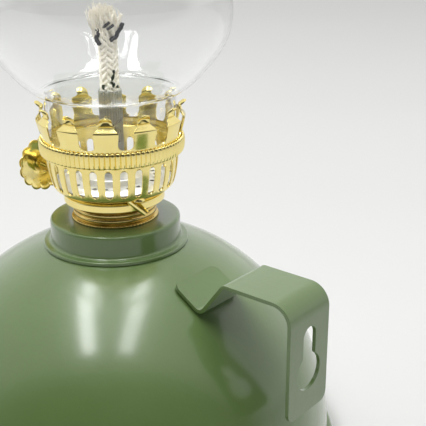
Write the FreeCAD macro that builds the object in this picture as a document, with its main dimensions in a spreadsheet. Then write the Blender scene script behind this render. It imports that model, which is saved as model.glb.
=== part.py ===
import FreeCAD, Part
import os
import Sketcher
from math import asin, atan2, degrees, hypot, sqrt
from types import SimpleNamespace
from FreeCAD import Placement, Rotation, Vector

# Oil lamp with a domed tank, a strap for hanging it on a wall, a round-wick burner and a glass chimney.
# Millimetres and degrees. +Z is up, the origin is the middle of the base on the surface that the lamp
# stands on, the strap is at +Y and the thumbwheel is at -Y. Heights of the burner, the wick and the
# chimney are counted from the top of the neck cap.

DIMENSIONS = {
    # tank
    "dome_radius": 61.0,
    "dome_centre_z": 6.9,
    "tank_sheet": 0.7,
    "neck_hole_radius": 13.2,
    "shell_foot_z": 0.85,
    "seam_radius": 63.0,
    "seam_height": 4.2,
    "seam_gap": 0.05,
    "foot_inner_radius": 57.2,
    "pan_height": 2.6,
    "pan_sheet": 0.8,
    "pan_slope_run": 2.7,
    # neck cap on top of the dome
    "cap_top_z": 72.0,
    "cap_radius": 18.0,
    "cap_sheet": 0.9,
    "cap_edge_round": 0.8,
    "cap_lip_radius": 20.15,
    "cap_lip_z": 65.5,
    "cap_lip_round": 0.5,
    # threaded collar
    "collar_bore_radius": 10.55,
    "collar_radius": 11.1,
    "collar_height": 5.7,
    "collar_hole_radius": 11.6,
    "collar_foot_radius": 11.95,
    "collar_foot_height": 0.5,
    "collar_flange_radius": 12.6,
    "collar_flange_sheet": 0.8,
    "collar_tail": 7.0,
    "thread_pitch": 1.5,
    "collar_thread_count": 3,
    "collar_thread_round": 0.85,
    # wall strap
    "strap_sheet": 1.0,
    "strap_width": 16.5,
    "strap_reach": 65.5,
    "strap_top_z": 66.3,
    "strap_bottom_z": 34.9,
    "strap_riser_y": 44.9,
    "strap_bend": 5.5,
    "strap_shoulder_bend": 2.1,
    "strap_foot_bend": 1.5,
    "strap_corner_round": 2.5,
    "pad_y": 32.0,
    "pad_back": 4.35,
    "pad_front": 5.8,
    "keyhole_radius": 4.9,
    "keyhole_z": 46.2,
    "keyhole_slot_half": 2.6,
    "keyhole_slot_z": 55.85,
    "keyhole_blend": 1.0,
    # burner base and gasket
    "base_radius": 13.85,
    "base_low": 5.15,
    "base_high": 7.3,
    "base_round": 0.4,
    "burner_sheet": 0.5,
    "tail_radius": 9.95,
    "tail_sheet": 0.6,
    "tail_depth": 6.0,
    "tail_thread_count": 6,
    "tail_thread_round": 1.1,
    "gasket_inner_radius": 10.55,
    "gasket_outer_radius": 12.8,
    "gasket_height": 0.8,
    "gasket_gap": 0.1,
    # burner basket
    "basket_flange_radius": 9.0,
    "basket_neck_radius": 12.4,
    "basket_turn_radius": 13.0,
    "basket_floor": 9.05,
    "basket_round": 4.35,
    "basket_belly_radius": 17.25,
    "basket_belly": 12.5,
    "basket_side_radius": 17.8,
    "basket_side": 15.4,
    "basket_rim_radius": 17.9,
    "basket_rim": 20.9,
    "slot_count": 28,
    "slot_angle": 41.9,
    "slot_half": 1.0,
    "slot_low": 10.8,
    "slot_high": 17.65,
    # gallery ring and crown
    "ring_low_radius": 17.95,
    "ring_low": 18.5,
    "ring_step_radius": 19.0,
    "ring_step": 19.3,
    "ring_radius": 19.6,
    "ring_wide": 21.2,
    "ring_top_radius": 19.3,
    "ring_top": 22.9,
    "seat_radius": 16.0,
    "seat": 21.45,
    "prong_count": 12,
    "prong_angle": 41.7,
    "crown_sheet": 0.4,
    "crown_low": 21.5,
    "crown_low_radius": 18.75,
    "crown_bulge_radius": 19.8,
    "crown_bulge": 25.4,
    "crown_shoulder": 27.5,
    "crown_neck_radius": 18.3,
    "crown_neck": 29.2,
    "crown_tip_radius": 20.25,
    "crown_tip": 32.0,
    "gap_floor": 23.4,
    "gap_half": 2.0,
    "gap_neck_half": 3.25,
    "gap_tip_half": 3.8,
    # draught cup
    "cup_floor": 10.5,
    "cup_sheet": 0.4,
    "cup_floor_radius": 15.0,
    "cup_rim_radius": 15.6,
    "cup_rim": 11.3,
    "hat_radius": 9.5,
    "hat": 12.6,
    "air_hole_count": 24,
    "air_hole_radius": 0.6,
    "air_hole_circle": 11.4,
    # wick tube
    "tube_radius": 3.15,
    "tube_bore": 2.8,
    "tube_low": 9.0,
    "tube_high": 35.4,
    "tube_fit": 0.05,
    "ferrule_radius": 4.2,
    "ferrule_height": 1.9,
    # wick raiser
    "shaft_height": 9.0,
    "shaft_offset": 5.1,
    "shaft_radius": 0.9,
    "shaft_fit": 0.05,
    "shaft_inner_end": 3.0,
    "sprocket_radius": 2.3,
    "sprocket_width": 2.4,
    "sprocket_tooth_count": 8,
    "tooth_gap_radius": 0.55,
    "window_half": 1.7,
    "window_rise": 2.0,
    "cheek_sheet": 0.6,
    "bracket_back": 8.4,
    "bracket_front": 3.7,
    "bracket_height": 4.4,
    "bush_radius": 1.25,
    "bush_flange_radius": 1.7,
    "bush_flange": 0.4,
    "bush_outer": 17.0,
    "bush_length": 4.3,
    "wheel_reach": 29.8,
    "wheel_radius": 8.2,
    "wheel_sheet": 0.8,
    "wheel_dish": 1.2,
    "wheel_hub_radius": 3.4,
    "wheel_rim_radius": 6.8,
    "wheel_lobe_count": 14,
    "lobe_notch_radius": 1.3,
    "lobe_notch_circle": 9.05,
    "boss_radius": 1.9,
    "boss_length": 2.4,
    "rivet_radius": 1.7,
    "rivet_height": 0.7,
    "rivet_round": 0.6,
    # wick
    "wick_radius": 2.5,
    "wick_depth": 54.0,
    "braid_high": 46.8,
    "tuft_radius": 4.3,
    "tuft_wide": 54.0,
    "tuft_top_radius": 1.8,
    "wick_high": 57.8,
    "yarn_radius": 0.5,
    "yarn_length": 5.0,
    # vent tongue
    "tongue_radius": 0.85,
    "tongue_sheet": 0.35,
    "tongue_length": 5.3,
    "tongue_angle": 61.7,
    "tongue_start_radius": 13.1,
    "tongue_start": 8.75,
    # chimney
    "glass_wall": 1.4,
    "fitter_radius": 17.5,
    "glass_low": 21.75,
    "fitter_high": 33.3,
    "crease_radius": 17.1,
    "crease": 34.5,
    "flare_radius": 19.6,
    "flare": 34.85,
    "flare_round": 50.0,
    "cheek_radius": 28.0,
    "cheek": 43.4,
    "cheek_round": 18.5,
    "bulb_radius": 32.6,
    "bulb": 57.0,
    "bulb_round": 30.0,
    "shoulder_radius": 21.07,
    "shoulder": 80.64,
    "shoulder_round": 17.88,
    "chimney_radius": 14.2,
    "chimney_low": 94.73,
    "mouth_radius": 14.9,
    "mouth_run": 8.0,
    "chimney_high": 150.0,
    "rim_round": 0.6,
}

# Rough places of the strap's lower corners, in sheets from the upper ones, before the sketch is solved.
STRAP_UNDERSIDE = ((-0.5, -0.9), (0.2, -1.3), (0.5, -1.0), (-1.0, -1.0), (-1.0, 0.0))
# Where the marker yarns leave the wick and how far they lean, in degrees.
YARN_ANGLES = (130.0, -50.0, 40.0)
YARN_LEAN = 30.0
# The way the vent tongue points: outwards, along the rim and up.
TONGUE_WAY = (3.0, 3.7, -2.2)
# Upward share of the glass wall's thickness where the cheek meets the bulb.
CHEEK_SLANT = 0.72

NOTHING = 1e-9

doc = FreeCAD.newDocument("OilLamp")


class Size:
    """A number together with the sheet expression that it comes from."""

    def __init__(self, value, text):
        self.value = float(value)
        self.text = text

    def __add__(self, other):
        other = as_size(other)
        return Size(self.value + other.value, f"({self.text} + {other.text})")

    def __sub__(self, other):
        other = as_size(other)
        return Size(self.value - other.value, f"({self.text} - {other.text})")

    def __mul__(self, other):
        other = as_size(other)
        return Size(self.value * other.value, f"({self.text} * {other.text})")

    def __truediv__(self, other):
        other = as_size(other)
        return Size(self.value / other.value, f"({self.text} / {other.text})")

    def __neg__(self):
        return Size(-self.value, f"(0 - {self.text})")


def as_size(number):
    if isinstance(number, Size):
        return number
    return Size(number, f"({number})")


def leg(hypotenuse, side):
    """The other short side of a right triangle."""
    value = sqrt(hypotenuse.value ** 2 - side.value ** 2)
    return Size(value, f"sqrt({hypotenuse.text} ^ 2 - {side.text} ^ 2)")


def make_sheet():
    sheet = doc.addObject("Spreadsheet::Sheet", "Dims")
    for row, (name, value) in enumerate(DIMENSIONS.items(), start=1):
        sheet.set(f"A{row}", name)
        sheet.set(f"B{row}", str(value))
        sheet.setAlias(f"B{row}", name)
    doc.recompute()
    return SimpleNamespace(**{name: Size(value, f"Dims.{name}") for name, value in DIMENSIONS.items()})


D = make_sheet()
parts = {}

# The shaft runs beside the wick, so the burner stands turned by a small angle: the thumbwheel is then
# straight in front of the wick.
BURNER_ANGLE = -degrees(asin(D.shaft_offset.value / D.wheel_reach.value))
WHEEL_Y = leg(D.wheel_reach, D.shaft_offset)


# ---------------------------------------------------------------- sketches and features

def new_body(label):
    body = doc.addObject("PartDesign::Body", "Body_" + label)
    body.Label = label
    parts[label] = body
    return body


def origin_item(body, role):
    return next(item for item in body.Origin.OriginFeatures if item.Role == role)


def new_sketch(body, name, role, offset=None):
    sketch = body.newObject("Sketcher::SketchObject", name)
    sketch.AttachmentSupport = (origin_item(body, role), [""])
    sketch.MapMode = "FlatFace"
    if offset is not None:
        sketch.AttachmentOffset = offset
    return sketch


def bind(sketch, kind, refs, size):
    """Adds one driving dimension and ties it to the sheet."""
    index = sketch.addConstraint(Sketcher.Constraint(kind, *refs, size.value))
    sketch.setExpression(f"Constraints[{index}]", size.text)


def pin_point(sketch, item, end, x, y):
    """Places a sketch point by its distances from the two sketch axes."""
    x, y = as_size(x), as_size(y)
    if abs(x.value) < NOTHING:
        sketch.addConstraint(Sketcher.Constraint("PointOnObject", item, end, -2))
    else:
        bind(sketch, "DistanceX", (-1, 1, item, end), x)
    if abs(y.value) < NOTHING:
        sketch.addConstraint(Sketcher.Constraint("PointOnObject", item, end, -1))
    else:
        bind(sketch, "DistanceY", (-1, 1, item, end), y)


def arc_between(start, end, radius, side):
    """The short arc from start to end with its centre left (1) or right (-1) of the way there."""
    chord = end - start
    left = Vector(-chord.y, chord.x, 0).normalize()
    rise = sqrt(max(radius ** 2 - (chord.Length / 2) ** 2, 0.0))
    centre = start + chord / 2 + left * (side * rise)
    first, last = (start, end) if side > 0 else (end, start)
    angles = [atan2(point.y - centre.y, point.x - centre.x) for point in (first, last)]
    return Part.ArcOfCircle(Part.Circle(centre, Vector(0, 0, 1), radius), *angles)


def outline(sketch, points):
    """Draws a closed outline. A point is (x, y), or (x, y, radius, side) where an arc leads to it."""
    places = [Vector(as_size(point[0]).value, as_size(point[1]).value, 0) for point in points]
    edges = []
    for number, point in enumerate(points):
        start, end = places[number - 1], places[number]
        if len(point) == 4:
            radius, side = as_size(point[2]), point[3]
            index = sketch.addGeometry(arc_between(start, end, radius.value, side), False)
            edges.append((index, 1, 2, radius) if side > 0 else (index, 2, 1, radius))
        else:
            index = sketch.addGeometry(Part.LineSegment(start, end), False)
            edges.append((index, 1, 2, None))
    for (index, _, tail, radius), following in zip(edges, edges[1:] + edges[:1]):
        sketch.addConstraint(Sketcher.Constraint("Coincident", index, tail, following[0], following[1]))
        if radius is not None:
            bind(sketch, "Radius", (index,), radius)
    for (index, _, tail, _), point in zip(edges, points):
        pin_point(sketch, index, tail, point[0], point[1])


def round_hole(sketch, x, y, radius):
    centre = Vector(as_size(x).value, as_size(y).value, 0)
    index = sketch.addGeometry(Part.Circle(centre, Vector(0, 0, 1), radius.value), False)
    bind(sketch, "Radius", (index,), radius)
    pin_point(sketch, index, 3, x, y)


def revolve(body, points):
    """Turns an outline of (radius, height) points about the body's own Z axis."""
    sketch = new_sketch(body, "Profile", "XZ_Plane")
    outline(sketch, points)
    turned = body.newObject("PartDesign::Revolution", "Turned")
    turned.Profile = sketch
    turned.ReferenceAxis = (sketch, ["V_Axis"])
    turned.Angle = 360
    doc.recompute()


def turned_body(label, points):
    body = new_body(label)
    revolve(body, points)
    return body


def cut(body, sketch, depth, count=None):
    """Pockets a sketch, the other way if it missed the solid, and repeats the pocket about Z."""
    before = body.Shape.Volume
    pocket = body.newObject("PartDesign::Pocket", sketch.Label + "Cut")
    pocket.Profile = sketch
    pocket.setExpression("Length", as_size(depth).text)
    doc.recompute()
    if "Invalid" in pocket.State or body.Shape.Volume > before - NOTHING:
        pocket.Reversed = True
        doc.recompute()
    if body.Shape.Volume > before - NOTHING:
        raise RuntimeError(f"{body.Label}: {sketch.Label} cuts nothing")
    if count is not None:
        ring = body.newObject("PartDesign::PolarPattern", sketch.Label + "Ring")
        ring.Originals = [pocket]
        ring.Axis = (origin_item(body, "Z_Axis"), [""])
        ring.Angle = 360
        ring.setExpression("Occurrences", count.text)
        body.Tip = ring
        doc.recompute()


def facing(angle, distance):
    """The offset that sets an upright sketch at a distance from the Z axis, facing away at an angle."""
    turn = Placement(Vector(), Rotation(Vector(0, 1, 0), angle + 90))
    return turn.multiply(Placement(Vector(0, 0, distance.value), Rotation()))


def round_edges(body, radius, wanted):
    names = [f"Edge{number}" for number, edge in enumerate(body.Shape.Edges, start=1) if wanted(edge)]
    if not names:
        raise RuntimeError(f"{body.Label}: no edge to round")
    base = body.Tip
    fillet = body.newObject("PartDesign::Fillet", "Round")
    fillet.Base = (base, names)
    fillet.setExpression("Radius", radius.text)
    doc.recompute()


def straight_along(edge, axis):
    straight = edge.Curve.TypeId == "Part::GeomLine"
    return straight and abs(edge.tangentAt(edge.FirstParameter).dot(axis)) > 0.999


def primitive(kind, name, place=None, **sizes):
    item = doc.addObject("Part::" + kind, name)
    for prop, size in sizes.items():
        item.setExpression(prop, as_size(size).text)
    if place is not None:
        item.Placement = place
    return item


def boolean(kind, name, base, tool):
    item = doc.addObject("Part::" + kind, name)
    item.Base = base
    item.Tool = tool
    return item


def stand(items, x, y, z, rotation):
    """Sets pieces in the lamp's frame, their places tied to the sheet."""
    for item in items:
        item.Placement = Placement(Vector(), rotation)
        for axis, size in zip("xyz", (x, y, z)):
            item.setExpression(f"Placement.Base.{axis}", as_size(size).text)


def on_burner(item):
    """Stands a piece, drawn from the neck cap up, in the turned burner."""
    stand([item], 0, 0, D.cap_top_z, Rotation(Vector(0, 0, 1), BURNER_ANGLE))


def on_shaft(item):
    """Stands a piece, drawn outwards from the thumbwheel's rim plane, on the raiser's axis."""
    turn = Rotation(Vector(0, 0, 1), BURNER_ANGLE).multiply(Rotation(Vector(1, 0, 0), 90))
    stand([item], 0, -D.wheel_reach, D.cap_top_z + D.shaft_height, turn)


# ---------------------------------------------------------------- tank

def dome_height(radius):
    return D.dome_centre_z + leg(D.dome_radius, radius)


def make_tank_shell():
    inner = D.dome_radius - D.tank_sheet
    turned_body("tank_shell", [
        (inner, D.shell_foot_z),
        (D.dome_radius, D.shell_foot_z),
        (D.dome_radius, D.dome_centre_z),
        (D.neck_hole_radius, dome_height(D.neck_hole_radius), D.dome_radius, 1),
        (D.neck_hole_radius, D.dome_centre_z + leg(inner, D.neck_hole_radius)),
        (inner, D.dome_centre_z, inner, -1),
    ])


def make_tank_base_pan():
    """The bottom sheet with its raised floor, its foot ring and the bead rolled over the shell."""
    bead = D.seam_height / 3
    seam_inner = D.dome_radius + D.seam_gap
    floor_top = D.pan_height + D.pan_sheet
    slope_top = D.foot_inner_radius - D.pan_slope_run
    slope_shift = D.pan_sheet / 2
    turned_body("tank_base_pan", [
        (0, D.pan_height),
        (slope_top, D.pan_height),
        (D.foot_inner_radius, 0),
        (D.seam_radius - bead, 0),
        (D.seam_radius, bead, bead, 1),
        (D.seam_radius, bead * 2),
        (D.seam_radius - bead, D.seam_height, bead, 1),
        (seam_inner, D.seam_height),
        (seam_inner, D.pan_sheet),
        (D.foot_inner_radius + slope_shift, D.pan_sheet),
        (slope_top + slope_shift, floor_top),
        (0, floor_top),
    ])


def make_neck_cap():
    top = D.cap_top_z
    bore = D.collar_hole_radius + D.seam_gap
    inner = D.cap_radius - D.cap_sheet
    rest = D.seam_gap * 2
    turned_body("neck_cap", [
        (bore, top),
        (bore, top - D.cap_sheet),
        (inner, top - D.cap_sheet),
        (inner, dome_height(inner) + rest),
        (D.cap_lip_radius, dome_height(D.cap_lip_radius) + rest),
        (D.cap_lip_radius, D.cap_lip_z - D.cap_lip_round),
        (D.cap_lip_radius - D.cap_lip_round, D.cap_lip_z, D.cap_lip_round, 1),
        (D.cap_radius + D.cap_lip_round, D.cap_lip_z),
        (D.cap_radius, D.cap_lip_z + D.cap_lip_round, D.cap_lip_round, -1),
        (D.cap_radius, top - D.cap_edge_round),
        (D.cap_radius - D.cap_edge_round, top, D.cap_edge_round, 1),
    ])


def make_thread_collar():
    """A threaded tube crimped into the neck cap, with a foot above the cap and a flange below it."""
    top = D.cap_top_z
    flange_top = top - D.cap_sheet - D.seam_gap
    foot_low = top + D.seam_gap
    foot_high = top + D.collar_foot_height
    threads_low = top + D.collar_height - D.thread_pitch * D.collar_thread_count - D.seam_gap * 4
    points = [
        (D.collar_bore_radius, top - D.collar_tail),
        (D.collar_radius, top - D.collar_tail),
        (D.collar_radius, flange_top - D.collar_flange_sheet),
        (D.collar_flange_radius, flange_top - D.collar_flange_sheet),
        (D.collar_flange_radius, flange_top),
        (D.collar_hole_radius, flange_top),
        (D.collar_hole_radius, foot_low),
        (D.collar_foot_radius, foot_low),
        (D.collar_foot_radius, foot_high),
        (D.collar_radius, threads_low),
    ]
    for thread in range(1, DIMENSIONS["collar_thread_count"] + 1):
        points.append((D.collar_radius, threads_low + D.thread_pitch * thread, D.collar_thread_round, 1))
    points += [
        (D.collar_radius, top + D.collar_height),
        (D.collar_bore_radius, top + D.collar_height),
    ]
    turned_body("thread_collar", points)


def make_wall_strap():
    """One strip of sheet: a pad on the dome, a riser, a level top and the upright wall plate."""
    body = new_body("wall_strap")
    across = D.pad_y / D.dome_radius
    up = leg(D.dome_radius, D.pad_y) / D.dome_radius
    pad_top = D.dome_radius + D.seam_gap + D.strap_sheet
    upper = [
        (across * pad_top - up * D.pad_back, D.dome_centre_z + up * pad_top + across * D.pad_back),
        (across * pad_top + up * D.pad_front, D.dome_centre_z + up * pad_top - across * D.pad_front),
        (D.strap_riser_y, D.strap_top_z),
        (D.strap_reach, D.strap_top_z),
        (D.strap_reach, D.strap_bottom_z),
    ]
    sheet = D.strap_sheet.value
    places = [Vector(y.value, z.value, 0) for y, z in upper]
    guesses = [place + Vector(y * sheet, z * sheet, 0) for place, (y, z) in zip(places, STRAP_UNDERSIDE)]
    sketch = new_sketch(body, "Side", "YZ_Plane")
    top_lines = [sketch.addGeometry(Part.LineSegment(*pair), False) for pair in zip(places, places[1:])]
    low_lines = [sketch.addGeometry(Part.LineSegment(*pair), False) for pair in zip(guesses, guesses[1:])]
    pad_end = sketch.addGeometry(Part.LineSegment(guesses[0], places[0]), False)
    plate_end = sketch.addGeometry(Part.LineSegment(places[-1], guesses[-1]), False)
    joints = [(line, 2, following, 1) for line, following in zip(top_lines, top_lines[1:])]
    joints += [(line, 2, following, 1) for line, following in zip(low_lines, low_lines[1:])]
    joints += [(pad_end, 1, low_lines[0], 1), (pad_end, 2, top_lines[0], 1)]
    joints += [(plate_end, 1, top_lines[-1], 2), (plate_end, 2, low_lines[-1], 2)]
    for ends in joints:
        sketch.addConstraint(Sketcher.Constraint("Coincident", *ends))
    for line, place in zip(top_lines, upper):
        pin_point(sketch, line, 1, *place)
    pin_point(sketch, top_lines[-1], 2, *upper[-1])
    for top, low in zip(top_lines, low_lines):
        sketch.addConstraint(Sketcher.Constraint("Parallel", top, low))
        bind(sketch, "Distance", (low, 1, top), D.strap_sheet)
    sketch.addConstraint(Sketcher.Constraint("Perpendicular", pad_end, top_lines[0]))
    sketch.addConstraint(Sketcher.Constraint("Perpendicular", plate_end, top_lines[-1]))
    strip = body.newObject("PartDesign::Pad", "Strip")
    strip.Profile = sketch
    strip.Midplane = True
    strip.setExpression("Length", D.strap_width.text)
    doc.recompute()
    lows = [sketch.getPoint(line, 1) for line in low_lines]
    outward = [
        (places[1], D.strap_foot_bend), (lows[1], D.strap_foot_bend + D.strap_sheet),
        (places[2], D.strap_shoulder_bend), (lows[2], D.strap_shoulder_bend - D.strap_sheet),
        (places[3], D.strap_bend), (lows[3], D.strap_bend - D.strap_sheet),
    ]
    for place, radius in outward:
        round_edges(body, radius, lambda edge: is_bend(edge, place))
    for place in (places[0], places[-1]):
        round_edges(body, D.strap_corner_round, lambda edge: is_sheet_corner(edge, place))
    cut_keyhole(body)


def is_bend(edge, place):
    middle = edge.CenterOfMass
    return straight_along(edge, Vector(1, 0, 0)) and hypot(middle.y - place.x, middle.z - place.y) < 0.5


def is_sheet_corner(edge, place):
    """True for the short edges, through the sheet, at the corners of one end of the strip."""
    middle = edge.CenterOfMass
    beside = abs(abs(middle.x) - D.strap_width.value / 2) < 1e-4
    close = hypot(middle.y - place.x, middle.z - place.y) < D.strap_sheet.value
    return beside and close and edge.Length < D.strap_sheet.value * 1.01


def cut_keyhole(body):
    """A round hole with a narrower slot above it, through the wall plate only."""
    clear = D.strap_sheet
    behind = D.strap_reach + clear
    sketch = new_sketch(body, "Keyhole", "XZ_Plane", Placement(Vector(0, 0, -behind.value), Rotation()))
    half, radius, middle = D.keyhole_slot_half, D.keyhole_radius, D.keyhole_z
    mouth = middle + leg(radius, half)
    outline(sketch, [
        (half, mouth, radius, 1),
        (half, D.keyhole_slot_z),
        (0, D.keyhole_slot_z + half, half, 1),
        (-half, D.keyhole_slot_z, half, 1),
        (-half, mouth),
        (-radius, middle, radius, 1),
        (0, middle - radius, radius, 1),
        (radius, middle, radius, 1),
    ])
    cut(body, sketch, clear * 3)
    corner = (half.value, mouth.value)
    round_edges(body, D.keyhole_blend, lambda edge: is_keyhole_corner(edge, *corner))


def is_keyhole_corner(edge, x, z):
    middle = edge.CenterOfMass
    return straight_along(edge, Vector(0, 1, 0)) and hypot(abs(middle.x) - x, middle.z - z) < 0.1


# ---------------------------------------------------------------- burner

def make_burner_gasket():
    low = D.collar_height + D.gasket_gap
    on_burner(turned_body("burner_gasket", [
        (D.gasket_inner_radius, low),
        (D.gasket_outer_radius, low),
        (D.gasket_outer_radius, low + D.gasket_height),
        (D.gasket_inner_radius, low + D.gasket_height),
    ]))


def make_burner_base():
    """The disc that carries everything, its skirt outside and its threaded tail inside the collar."""
    under = D.base_high - D.burner_sheet
    bore = D.tail_radius - D.tail_sheet
    hole = D.tube_radius + D.tube_fit
    points = [
        (hole, D.base_high),
        (hole, under),
        (bore, under),
        (bore, -D.tail_depth),
        (D.tail_radius, -D.tail_depth),
    ]
    for thread in range(1, DIMENSIONS["tail_thread_count"] + 1):
        points.append((D.tail_radius, D.thread_pitch * thread - D.tail_depth, D.tail_thread_round, 1))
    points += [
        (D.tail_radius, under),
        (D.base_radius - D.burner_sheet, under),
        (D.base_radius - D.burner_sheet, D.base_low),
        (D.base_radius, D.base_low),
        (D.base_radius, D.base_high - D.base_round),
        (D.base_radius - D.base_round, D.base_high, D.base_round, 1),
    ]
    body = turned_body("burner_base", points)
    above = Placement(Vector(0, 0, D.base_high.value), Rotation())
    window = new_sketch(body, "SprocketWindow", "XY_Plane", above)
    side = D.shaft_offset + D.window_half + D.shaft_fit * 4
    outline(window, [
        (D.window_half, -D.window_half),
        (side, -D.window_half),
        (side, D.window_half),
        (D.window_half, D.window_half),
    ])
    cut(body, window, D.burner_sheet)
    on_burner(body)


def make_burner_basket():
    """A thin bowl with upright air slots, seated on the burner base by the flange of its neck."""
    sheet = D.burner_sheet
    neck, turn = D.basket_neck_radius, D.basket_turn_radius
    body = turned_body("burner_basket", [
        (D.basket_flange_radius, D.base_high + sheet),
        (D.basket_flange_radius, D.base_high),
        (neck, D.base_high),
        (neck, D.basket_floor),
        (turn, D.basket_floor),
        (D.basket_belly_radius, D.basket_belly, D.basket_round, 1),
        (D.basket_side_radius, D.basket_side),
        (D.basket_rim_radius, D.ring_low),
        (D.basket_rim_radius - sheet / 2, D.basket_rim),
        (D.basket_rim_radius - sheet * 1.5, D.basket_rim),
        (D.basket_rim_radius - sheet, D.ring_low),
        (D.basket_side_radius - sheet, D.basket_side),
        (D.basket_belly_radius - sheet, D.basket_belly),
        (turn, D.basket_floor + sheet, D.basket_round - sheet, -1),
        (neck - sheet, D.basket_floor + sheet),
        (neck - sheet, D.base_high + sheet),
    ])
    outside = D.base_radius + D.tube_radius * 2
    depth = D.slot_high - D.slot_low
    slot = new_sketch(body, "AirSlot", "XZ_Plane", facing(D.slot_angle.value - BURNER_ANGLE, outside))
    half, low, high = D.slot_half, D.slot_low + D.slot_half, D.slot_high - D.slot_half
    outline(slot, [
        (-half, low),
        (0, D.slot_low, half, 1),
        (half, low, half, 1),
        (half, high),
        (0, D.slot_high, half, 1),
        (-half, high, half, 1),
    ])
    cut(body, slot, depth, D.slot_count)
    hole = new_sketch(body, "BushHole", "XZ_Plane", Placement(Vector(0, 0, outside.value), Rotation()))
    round_hole(hole, D.shaft_offset, D.shaft_height, D.bush_radius + D.shaft_fit)
    cut(body, hole, D.base_radius)
    on_burner(body)


def make_gallery_ring():
    """The wide band round the basket's rim, with the ledge that the chimney stands on."""
    sheet = D.burner_sheet
    on_burner(turned_body("gallery_ring", [
        (D.ring_low_radius, D.ring_low),
        (D.ring_low_radius + sheet, D.ring_low),
        (D.ring_step_radius, D.ring_step),
        (D.ring_radius, D.ring_wide),
        (D.ring_top_radius, D.ring_top),
        (D.ring_top_radius - sheet, D.ring_top),
        (D.ring_radius - sheet, D.seat),
        (D.seat_radius, D.seat),
        (D.seat_radius, D.seat - sheet),
        (D.ring_radius - sheet * 1.5, D.seat - sheet),
        (D.ring_step_radius - sheet, D.ring_step + sheet / 4),
        (D.ring_low_radius, D.ring_low + sheet),
    ]))


def make_gallery_crown():
    """A spring band with prongs that hold the chimney's foot."""
    sheet = D.crown_sheet
    outer = [
        (D.crown_low_radius, D.crown_low),
        (D.crown_low_radius, D.gap_floor),
        (D.crown_bulge_radius, D.crown_bulge),
        (D.crown_bulge_radius, D.crown_shoulder),
        (D.crown_neck_radius, D.crown_neck),
        (D.crown_tip_radius, D.crown_tip),
    ]
    inner = [(radius - sheet, height) for radius, height in outer]
    body = turned_body("gallery_crown", outer + inner[::-1])
    outside = D.crown_tip_radius + D.gap_half
    between = D.prong_angle.value - BURNER_ANGLE + 180 / DIMENSIONS["prong_count"]
    gap = new_sketch(body, "Gap", "XZ_Plane", facing(between, outside))
    half = D.gap_half
    above = D.crown_tip + half
    outline(gap, [
        (-half, D.gap_floor + half),
        (0, D.gap_floor, half, 1),
        (half, D.gap_floor + half, half, 1),
        (half, D.crown_shoulder),
        (D.gap_neck_half, D.crown_neck),
        (D.gap_tip_half, D.crown_tip),
        (D.gap_tip_half, above),
        (-D.gap_tip_half, above),
        (-D.gap_tip_half, D.crown_tip),
        (-D.gap_neck_half, D.crown_neck),
        (-half, D.crown_shoulder),
    ])
    cut(body, gap, outside - D.seat_radius, D.prong_count)
    on_burner(body)


def make_draught_cup():
    """The bright inner pan: a holed floor ring with an upturned wall and a raised middle."""
    sheet = D.cup_sheet
    hole = D.tube_radius + D.tube_fit
    body = turned_body("draught_cup", [
        (hole, D.hat),
        (hole, D.hat - sheet),
        (D.hat_radius - sheet, D.hat - sheet),
        (D.hat_radius - sheet, D.cup_floor),
        (D.cup_floor_radius, D.cup_floor),
        (D.cup_rim_radius, D.cup_rim),
        (D.cup_rim_radius - sheet, D.cup_rim),
        (D.cup_floor_radius - sheet / 2, D.cup_floor + sheet),
        (D.hat_radius, D.cup_floor + sheet),
        (D.hat_radius, D.hat),
    ])
    above = Placement(Vector(0, 0, (D.cup_floor + sheet).value), Rotation())
    holes = new_sketch(body, "AirHole", "XY_Plane", above)
    round_hole(holes, D.air_hole_circle, 0, D.air_hole_radius)
    cut(body, holes, sheet, D.air_hole_count)
    on_burner(body)


def make_wick_tube():
    body = turned_body("wick_tube", [
        (D.tube_bore, -D.tube_low),
        (D.tube_radius, -D.tube_low),
        (D.tube_radius, D.tube_high),
        (D.tube_bore, D.tube_high),
    ])
    beside = D.tube_radius * 2
    window = new_sketch(body, "Window", "YZ_Plane", Placement(Vector(0, 0, beside.value), Rotation()))
    half, low, high = D.window_half, D.shaft_height - D.window_rise, D.shaft_height + D.window_rise
    outline(window, [(-half, low), (half, low), (half, high), (-half, high)])
    cut(body, window, beside - D.window_half)
    on_burner(body)


def make_tube_ferrule():
    top = D.base_high - D.burner_sheet
    bore = D.tube_radius + D.tube_fit
    on_burner(turned_body("tube_ferrule", [
        (bore, top - D.ferrule_height),
        (D.ferrule_radius, top - D.ferrule_height),
        (D.ferrule_radius, top),
        (bore, top),
    ]))


def make_vent_tongue():
    """A strip curled to a half pipe that leads out of the recess under the basket."""
    body = new_body("vent_tongue")
    sketch = new_sketch(body, "Curl", "XY_Plane")
    outer, inner = D.tongue_radius, D.tongue_radius - D.tongue_sheet
    outline(sketch, [
        (-outer, 0),
        (0, -outer, outer, 1),
        (outer, 0, outer, 1),
        (inner, 0),
        (0, -inner, inner, -1),
        (-inner, 0, inner, -1),
    ])
    pipe = body.newObject("PartDesign::Pad", "Pipe")
    pipe.Profile = sketch
    pipe.setExpression("Length", D.tongue_length.text)
    doc.recompute()
    outward = Rotation(Vector(0, 0, 1), D.tongue_angle.value)
    way = outward.multVec(Vector(*TONGUE_WAY)).normalize()
    place = outward.multVec(Vector(D.tongue_start_radius.value, 0, 0))
    up = Vector(0, 0, 1)
    body.Placement = Placement(place, Rotation(Vector(), up, way, "ZYX"))
    body.setExpression("Placement.Base.z", (D.cap_top_z + D.tongue_start).text)


# ---------------------------------------------------------------- wick raiser

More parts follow.
